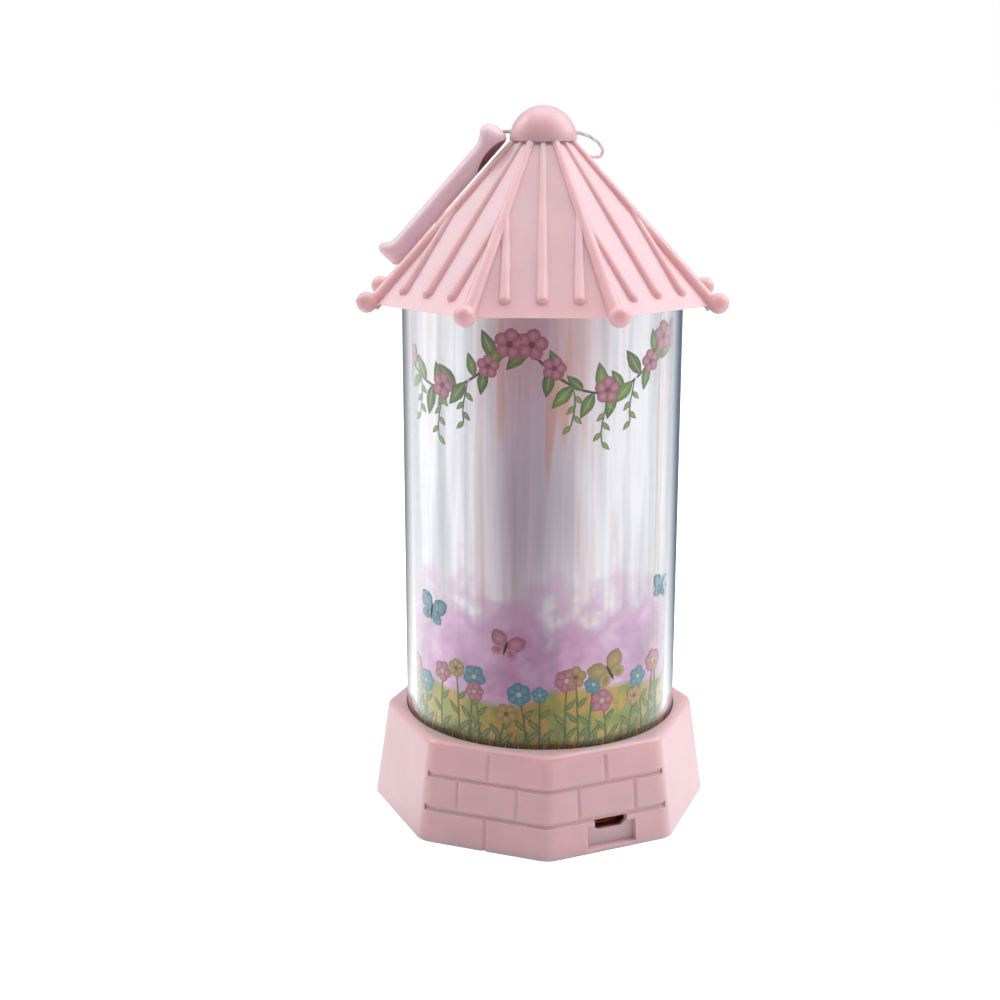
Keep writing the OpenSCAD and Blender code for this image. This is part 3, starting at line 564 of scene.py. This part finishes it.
def smooth_route(points, steps):
    """Points of a smooth curve through the route, with steps between each two."""
    out = []
    last = len(points) - 1
    for i in range(last):
        a, b = Vector(points[max(i - 1, 0)]), Vector(points[i])
        c, d = Vector(points[i + 1]), Vector(points[min(i + 2, last)])
        for k in range(steps):
            t = k / steps
            out.append(0.5 * (2 * b + (c - a) * t + (2 * a - 5 * b + 4 * c - d) * t ** 2
                              + (3 * b - a - 3 * c + d) * t ** 3))
    out.append(Vector(points[last]))
    return out


def mark_lay(cord, path):
    """Marks each point's turn round the core, doubled for two strands, and its place along."""
    core = KDTree(len(path))
    for k, point in enumerate(path):
        core.insert(point, k)
    core.balance()
    run = [0.0]
    for a, b in zip(path, path[1:]):
        run.append(run[-1] + (b - a).length)
    values = []
    for vertex in cord.vertices:
        middle, k, _ = core.find(vertex.co)
        tangent = (path[min(k + 1, len(path) - 1)] - path[max(k - 1, 0)]).normalized()
        side = tangent.cross(CORD_ASIDE).normalized()
        out = vertex.co - middle
        turn = math.atan2(out.dot(tangent.cross(side)), out.dot(side))
        values += [math.cos(2 * turn), math.sin(2 * turn), run[k]]
    cord.attributes.new("lay", "FLOAT_VECTOR", "POINT").data.foreach_set("vector", values)


class LANTERN_OT_cord(bpy.types.Operator):
    """Hanging cord through the finial to both ends of the grip"""
    bl_idname = "lantern.cord"
    bl_label = "Hanging cord"

    def execute(self, context):
        path = [point * MM for point in smooth_route(CORD_ROUTE_MM, CORD_STEPS)]
        curve = bpy.data.curves.new("cord_strand", "CURVE")
        curve.dimensions = "3D"
        curve.bevel_depth = CORD_DIAMETER / 2
        curve.bevel_resolution = 4
        curve.use_fill_caps = True
        spline = curve.splines.new("POLY")
        spline.points.add(len(path) - 1)
        for point, place in zip(spline.points, path):
            point.co = (*place, 1.0)
        cord = bpy.data.objects.new("cord_strand", curve)
        context.collection.objects.link(cord)
        bpy.ops.object.select_all(action="DESELECT")
        cord.select_set(True)
        context.view_layer.objects.active = cord
        bpy.ops.object.convert(target="MESH")
        cord = context.view_layer.objects.active
        bpy.ops.object.shade_smooth()
        mark_lay(cord.data, path)
        cord.data.materials.clear()
        colour = tuple(context.scene.lantern_colours.cord)
        cord.data.materials.append(twisted_cord("laid_polyester_cord", colour))
        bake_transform(cord)
        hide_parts("hanging_cord")
        return {"FINISHED"}


class LANTERN_OT_mouldings(bpy.types.Operator):
    """Finish of the pink mouldings: roof, finial, grip, base and cover"""
    bl_idname = "lantern.mouldings"
    bl_label = "Pink mouldings"

    def execute(self, context):
        colours = context.scene.lantern_colours
        dress(moulded_plastic("moulded_abs_pink", tuple(colours.plastic), roughness=0.34,
                              soft_edge=0.3 * MM, bleed=3.0 * MM),
              "roof_shell", "finial", "base_housing", "bottom_cover")
        # Paler than the roof, to offset the dim light on its front, and softer at its edges
        dress(moulded_plastic("moulded_abs_grip", tuple(colours.grip), roughness=0.34,
                              soft_edge=2.6 * MM, bleed=0.8 * MM), "hand_grip")
        return {"FINISHED"}


class LANTERN_OT_tube(bpy.types.Operator):
    """Finish of the clear tube and of the silvered film inside it"""
    bl_idname = "lantern.tube"
    bl_label = "Tube and film"

    def execute(self, context):
        dress(clear_acrylic("extruded_acrylic"), "clear_tube")
        dress(printed_film("silvered_polyester_film", context.scene.lantern_colours),
              "picture_film")
        return {"FINISHED"}


class LANTERN_OT_fittings(bpy.types.Operator):
    """Finish of the fittings inside the base and under the roof"""
    bl_idname = "lantern.fittings"
    bl_label = "Fittings"

    def execute(self, context):
        dress(small_fitting("zinc_plated_steel", "#BFC1C4", 0.35, metallic=1.0),
              "finial_screw", "cap_screws", "deck_pins", "board_screws", "cover_screws")
        # Copper is guessed from the rust tone inside the photographed port
        dress(small_fitting("copper_plated_steel", "#E8A283", 0.35, metallic=1.0), "usb_shell")
        dress(small_fitting("white_abs", "#F0EFEC", 0.5), "tube_cap", "lamp_deck", "switch_slider")
        dress(small_fitting("black_nylon", "#232325", 0.5), "board_parts", "switch_case")
        # Rust nylon, made brighter than it is: painted light on the tongue set deep in the dim port
        dress(small_fitting("rust_nylon_and_painted_light", "#FF8A5A", 0.5), "usb_tongue")
        dress(small_fitting("lacquered_board", "#2C6E45", 0.4), "circuit_board")
        dress(small_fitting("amber_resin", "#F5D27A", 0.15), "lamp_leds")
        dress(small_fitting("foil_pouch", "#9AA7B8", 0.35, metallic=0.6), "battery_cell")
        dress(small_fitting("red_insulation", "#B3201C", 0.45), "battery_lead_red")
        dress(small_fitting("black_insulation", "#1C1C1D", 0.45), "battery_lead_black")
        dress(small_fitting("knotted_polyester", "#EBDCE0", 0.6), "cord_knots")
        return {"FINISHED"}


class LANTERN_OT_garland(bpy.types.Operator):
    """Printed garland of leaves and blossoms under the eave"""
    bl_idname = "lantern.garland"
    bl_label = "Garland"

    def execute(self, context):
        pattern, colours = context.scene.lantern_print, context.scene.lantern_colours
        sheet = PrintedSheet()
        leaf, blossom = veined_leaf(), open_blossom(5)
        leaf_ink, edge_ink = tuple(colours.leaf), tuple(colours.leaf_edge)
        petal_inks = (tuple(colours.blossom), tuple(colours.blossom_edge), linear("#A3203F"))
        drop_inks = (linear("#C2D873"), linear("#7CA43A"), linear("#D8E69A"))
        span = 2 * math.pi * FILM_R / pattern.swags
        for i in range(pattern.swags):
            left = (i - pattern.swags / 2 + 0.36) * span
            line = []
            for k in range(SWAG_STEPS + 1):
                t = k / SWAG_STEPS
                dip = pattern.sag * (1 - (2 * t - 1) ** 2)
                line.append((left + span * t, EAVE_Z - 4 * MM - dip))
            sheet.stroke(line, [0.55 * MM] * len(line), tuple(colours.twig), 0)
            for k in range(1, SWAG_STEPS):
                side = 1 if k % 2 else -1
                lean = (0.5 + 0.35 * math.sin(5.1 * k + i)) * side
                size = pattern.leaf_length * (0.75 + 0.35 * abs(math.sin(2.3 * k + i)))
                tone = (1.0, 1.25, 0.8)[(k + i) % 3]
                inks = (toned(leaf_ink, tone), toned(edge_ink, tone), linear("#D3E08A"))
                sheet.stamp(leaf, *line[k], math.pi / 2 + math.pi / 2 * side + lean, 0.46 * size,
                            size, inks, 1 + k % 2)
            for drop in range(3):
                x, z = line[5 + 3 * drop]
                tail = [(x + 0.6 * MM * math.sin(0.9 * j + drop), z - 2.1 * MM * j)
                        for j in range(5 + drop % 2)]
                sheet.stroke(tail, [0.32 * MM] * len(tail), linear("#6E8450"), 0)
                for j in range(1, len(tail)):
                    sheet.stamp(leaf, *tail[j], math.pi * (0.75 if j % 2 else 1.25), 1.2 * MM,
                                2.6 * MM, drop_inks, 3)
            for k, size in ((1, 3.4 * MM), (3, 2.6 * MM), (8, 3.0 * MM), (13, 2.6 * MM),
                            (15, 3.4 * MM)):
                x, z = line[k]
                sheet.stamp(blossom, x + 0.8 * MM, z + 0.6 * MM, 0.7 * k + i, size, size,
                            petal_inks, 4)
        sheet.build("garland_print")
        return {"FINISHED"}


class LANTERN_OT_meadow(bpy.types.Operator):
    """Printed flowers and grass over the meadow near the base"""
    bl_idname = "lantern.meadow"
    bl_label = "Meadow"

    def execute(self, context):
        pattern = context.scene.lantern_print
        sheet = PrintedSheet()
        leaf, blossoms = veined_leaf(), (open_blossom(5), open_blossom(6))
        leaf_inks = (linear("#9DB43C"), linear("#5F8224"), linear("#C4D070"))
        stalk_ink = linear("#5C7A28")
        petal_inks = [[linear(hex_colour) for hex_colour in inks] for inks in (
            ("#7CC4CF", "#3E97AB", "#F0E4B0"), ("#F3A9BC", "#D4647F", "#F4E3A0"),
            ("#E8CB78", "#C79A3E", "#8A5A2A"), ("#C9A5D6", "#9468AE", "#F2E4B4"))]
        blade_inks = [linear(hex_colour) for hex_colour in ("#748F2E", "#96A636", "#5C7828")]
        blade_widths = [0.55 * MM, 0.5 * MM, 0.35 * MM, 0.08 * MM]
        steps = len(blade_widths) - 1
        girth = 2 * math.pi * FILM_R
        foot = RIM_Z - 2 * MM
        for i in range(pattern.blades):
            tall = (3 + 3.4 * abs(math.sin(5.3 * i))) * MM
            lean = 1.4 * MM * math.sin(3.1 * i)
            line = [(i * girth / pattern.blades + lean * (k / steps) ** 2, foot + tall * k / steps)
                    for k in range(steps + 1)]
            sheet.stroke(line, blade_widths, blade_inks[i % 3], 0)
        for i in range(pattern.stalks):
            x = (i + 0.35 * math.sin(7.7 * i)) * girth / pattern.stalks
            tall = (9 + 9 * abs(math.sin(3.7 * i + 0.6))) * MM
            bend = 1.6 * MM * math.sin(2.9 * i)
            line = [(x + bend * (k / STALK_STEPS) ** 2, foot + tall * k / STALK_STEPS)
                    for k in range(STALK_STEPS + 1)]
            widths = [0.5 * MM - 0.04 * MM * k for k in range(STALK_STEPS + 1)]
            sheet.stroke(line, widths, stalk_ink, 1)
            for k, side in ((1, 1), (2, -1), (3, 1)):
                sheet.stamp(leaf, *line[k], side * 0.75, 1.3 * MM, 5.2 * MM - 0.6 * MM * k,
                            leaf_inks, 2)
            size = (1.9 + 0.9 * abs(math.sin(4.3 * i))) * MM
            sheet.stamp(blossoms[i % 2], *line[-1], 1.3 * i, size, size,
                        petal_inks[(i * 5 + i // 3) % 4], 4)
        sheet.build("meadow_print")
        return {"FINISHED"}


class LANTERN_OT_butterflies(bpy.types.Operator):
    """Printed butterflies above the meadow"""
    bl_idname = "lantern.butterflies"
    bl_label = "Butterflies"

    def execute(self, context):
        pattern = context.scene.lantern_print
        sheet = PrintedSheet()
        butterfly = open_butterfly()
        wing_inks = [[linear(hex_colour) for hex_colour in inks] for inks in (
            ("#8FD0DA", "#3A8FA6", "#4A3B36"), ("#F2B3C2", "#CF6A86", "#4A3B36"),
            ("#EBD38A", "#C99B44", "#4A3B36"))]
        for i in range(pattern.butterflies):
            turn = -0.92 + 2 * math.pi * i / pattern.butterflies + 0.2 * math.sin(3.3 * i)
            height = RIM_Z + (22 + 11 * math.sin(2.6 * i + 0.5)) * MM
            size = pattern.wing_length * (1 + 0.38 * abs(math.sin(1.7 * i + 1)))
            tilt = 0.5 * math.sin(2.1 * i + 0.4)
            sheet.stamp(butterfly, turn * FILM_R, height, tilt, size, size, wing_inks[i % 3], 6)
        sheet.build("butterfly_print")
        return {"FINISHED"}


class LANTERN_OT_stage(bpy.types.Operator):
    """Pale floor, soft studio light and a white surround"""
    bl_idname = "lantern.stage"
    bl_label = "Stage"

    def execute(self, context):
        scene, light = context.scene, context.scene.lantern_light
        scene.view_settings.view_transform = "Standard"
        bpy.ops.object.select_all(action="DESELECT")
        bpy.ops.mesh.primitive_plane_add(size=FLOOR_SIZE)
        floor = context.view_layer.objects.active
        floor.name = "floor"
        # White paper sweep: the camera sees it nearly white, and the contact shadow stays
        material, tree, output = new_material("white_paper_sweep")
        path = add_node(tree, "ShaderNodeLightPath")
        glow = add_node(tree, "ShaderNodeMath", {"operation": "MULTIPLY"},
                        i0=path.outputs["Is Camera Ray"], i1=0.55)
        paper = add_node(tree, "ShaderNodeBsdfDiffuse", Color=linear("#F4F3F3"))
        lit = add_node(tree, "ShaderNodeEmission", Strength=glow.outputs[0])
        both = add_node(tree, "ShaderNodeAddShader", i0=paper.outputs[0], i1=lit.outputs[0])
        # Cards that glass and metal show: dim in front, white at the sides, blue-grey behind
        _, turn = turn_from_front(tree)
        around = add_node(tree, "ShaderNodeMapRange", Value=turn, From_Min=-math.pi,
                          From_Max=math.pi)
        cards = add_node(tree, "ShaderNodeValToRGB", Fac=around.outputs[0], stops=[
            (0.0, "#6A747E"), (0.03, "#83878B"), (0.06, "#6F7072"), (0.1, "#B5B5B7"),
            (0.17, "#FFFFFF"), (0.28, "#FFFFFF"), (0.362, "#D6D0D4"), (0.43, "#B3A2A8"),
            (0.5, "#AFA4AE"), (0.57, "#DCD4D5"), (0.64, "#F0EEEF"), (0.83, "#F6F6F7"),
            (0.9, "#9AA0A6"), (0.93, "#4C5C6E"), (0.96, "#6F7780"), (1.0, "#4E5E6F")])
        card = add_node(tree, "ShaderNodeEmission", Color=cards.outputs["Color"], Strength=1.5)
        mirrored = add_node(tree, "ShaderNodeMath", {"operation": "MAXIMUM"},
                            i0=path.outputs["Is Glossy Ray"],
                            i1=path.outputs["Is Transmission Ray"])
        swept = add_node(tree, "ShaderNodeMixShader", i0=mirrored.outputs[0], i1=both.outputs[0],
                         i2=card.outputs[0])
        tree.links.new(swept.outputs[0], output.inputs["Surface"])
        floor.data.materials.append(material)

        # Light tent: bright behind, at the sides and above, dim at the side that the front faces
        world = bpy.data.worlds.new("light_tent")
        scene.world = world
        world.use_nodes = True
        tree = world.node_tree
        tree.nodes.clear()
        path = add_node(tree, "ShaderNodeLightPath")
        toward = add_node(tree, "ShaderNodeTexCoord").outputs["Generated"]
        ahead = add_node(tree, "ShaderNodeVectorMath", {"operation": "DOT_PRODUCT"}, i0=toward,
                         i1=TENT_DIM_SIDE)
        tent_wall = add_node(tree, "ShaderNodeMapRange", {"interpolation_type": "SMOOTHSTEP"},
                             Value=ahead.outputs["Value"], From_Min=0.05, From_Max=0.85,
                             To_Min=0.46, To_Max=0.16)
        up = add_node(tree, "ShaderNodeSeparateXYZ", Vector=toward)
        tent_roof = add_node(tree, "ShaderNodeMapRange", {"interpolation_type": "SMOOTHSTEP"},
                             Value=up.outputs["Z"], From_Min=0.35, From_Max=0.9, To_Max=0.5)
        tent = add_node(tree, "ShaderNodeMath", {"operation": "ADD"}, i0=tent_wall.outputs[0],
                        i1=tent_roof.outputs[0])
        strength = add_node(tree, "ShaderNodeMix", Factor=path.outputs["Is Camera Ray"],
                            A=tent.outputs[0], B=1.0)
        surround = add_node(tree, "ShaderNodeBackground", Color=(1.0, 1.0, 1.0, 1.0),
                            Strength=strength.outputs[0])
        output = tree.nodes.new("ShaderNodeOutputWorld")
        tree.links.new(surround.outputs[0], output.inputs["Surface"])

        for name, place, size, power in (
                ("left_softbox", (-0.6, 0.2, 0.6), 0.5, light.left),
                ("right_softbox", (0.6, 0.14, 0.6), 0.7, light.right),
                ("top_softbox", (0.0, 0.12, 0.85), 0.6, light.top)):
            data = bpy.data.lights.new(name, "AREA")
            data.size = size
            data.energy = power
            data.color = linear(LAMP_COLOUR)[:3]
            lamp = bpy.data.objects.new(name, data)
            lamp.location = place
            aim = LAMP_AIM - Vector(place)
            lamp.rotation_euler = aim.to_track_quat("-Z", "Y").to_euler()
            lamp.visible_transmission = False
            context.collection.objects.link(lamp)
        return {"FINISHED"}


OPERATORS = (
    LANTERN_OT_camera, LANTERN_OT_cord, LANTERN_OT_mouldings, LANTERN_OT_tube, LANTERN_OT_fittings,
    LANTERN_OT_garland, LANTERN_OT_meadow, LANTERN_OT_butterflies, LANTERN_OT_stage,
)


class LANTERN_PT_panel(bpy.types.Panel):
    """Lantern pieces in the sidebar"""
    bl_label = "Lantern"
    bl_idname = "LANTERN_PT_panel"
    bl_space_type = "VIEW_3D"
    bl_region_type = "UI"
    bl_category = "Lantern"

    def draw(self, context):
        for operator in OPERATORS:
            self.layout.operator(operator.bl_idname)


GROUPS = {"lantern_view": LanternView, "lantern_colours": LanternColours,
          "lantern_print": LanternPrint, "lantern_light": LanternLight}
CLASSES = (*GROUPS.values(), *OPERATORS, LANTERN_PT_panel)


def register():
    for cls in CLASSES:
        bpy.utils.register_class(cls)
    for name, group in GROUPS.items():
        setattr(bpy.types.Scene, name, bpy.props.PointerProperty(type=group))


def unregister():
    for name in GROUPS:
        delattr(bpy.types.Scene, name)
    for cls in reversed(CLASSES):
        bpy.utils.unregister_class(cls)


def main():
    register()
    bpy.ops.lantern.camera()
    bpy.ops.lantern.cord()
    bpy.ops.lantern.mouldings()
    bpy.ops.lantern.tube()
    bpy.ops.lantern.fittings()
    bpy.ops.lantern.garland()
    bpy.ops.lantern.meadow()
    bpy.ops.lantern.butterflies()
    bpy.ops.lantern.stage()


if __name__ == "__main__":
    main()
